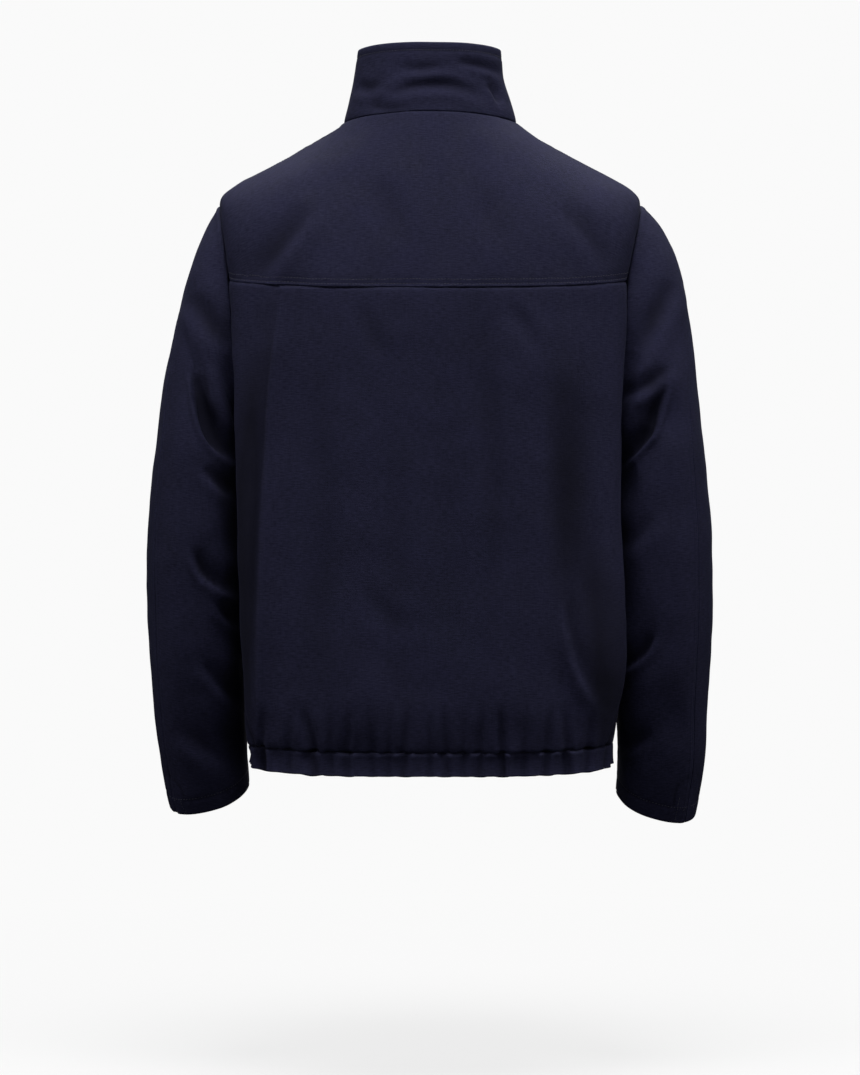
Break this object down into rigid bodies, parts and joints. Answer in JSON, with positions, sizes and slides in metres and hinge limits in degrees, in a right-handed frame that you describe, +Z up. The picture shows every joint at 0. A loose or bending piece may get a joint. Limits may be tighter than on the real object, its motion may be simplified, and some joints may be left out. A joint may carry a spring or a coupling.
{
  "type": "zip-front jacket",
  "caption": "Short navy cotton jacket with a stand collar, a back yoke, two-piece sleeves, a zip front and a gathered drawcord casing at the hem, in its worn shape.",
  "frame": {"origin": "middle of the neck, level with the neck end of the shoulders, where a wearer's shoulders carry the jacket", "axes": "+Z up; the front with its zip faces -Y and the back +Y; +X is the wearer's left"},
  "size_m": [0.5802, 0.2697, 0.7894],
  "materials": {
    "navy_cotton": "matt washed cotton twill",
    "navy_zip_tape": "matt woven tape",
    "dark_metal": "dark satin"
  },
  "bodies": {
    "jacket": {"back_yoke": "navy_cotton", "back_lower": "navy_cotton", "front_left": "navy_cotton", "front_right": "navy_cotton", "sleeve_back_left": "navy_cotton", "sleeve_front_left": "navy_cotton", "sleeve_back_right": "navy_cotton", "sleeve_front_right": "navy_cotton", "collar": "navy_cotton", "hem_casing": "navy_cotton", "zip_tape_left": "navy_zip_tape", "zip_tape_right": "navy_zip_tape", "zip_chain": "dark_metal", "zip_slider": "dark_metal"},
    "pull": {"zip_pull": "dark_metal"}
  },
  "joints": [
    {"name": "pull_swing", "type": "hinge", "parent": "jacket", "child": "pull", "pos_m": [0, -0.08371, 0.00394], "axis": [-1, 0, 0], "range_deg": [0, 165]}
  ]
}
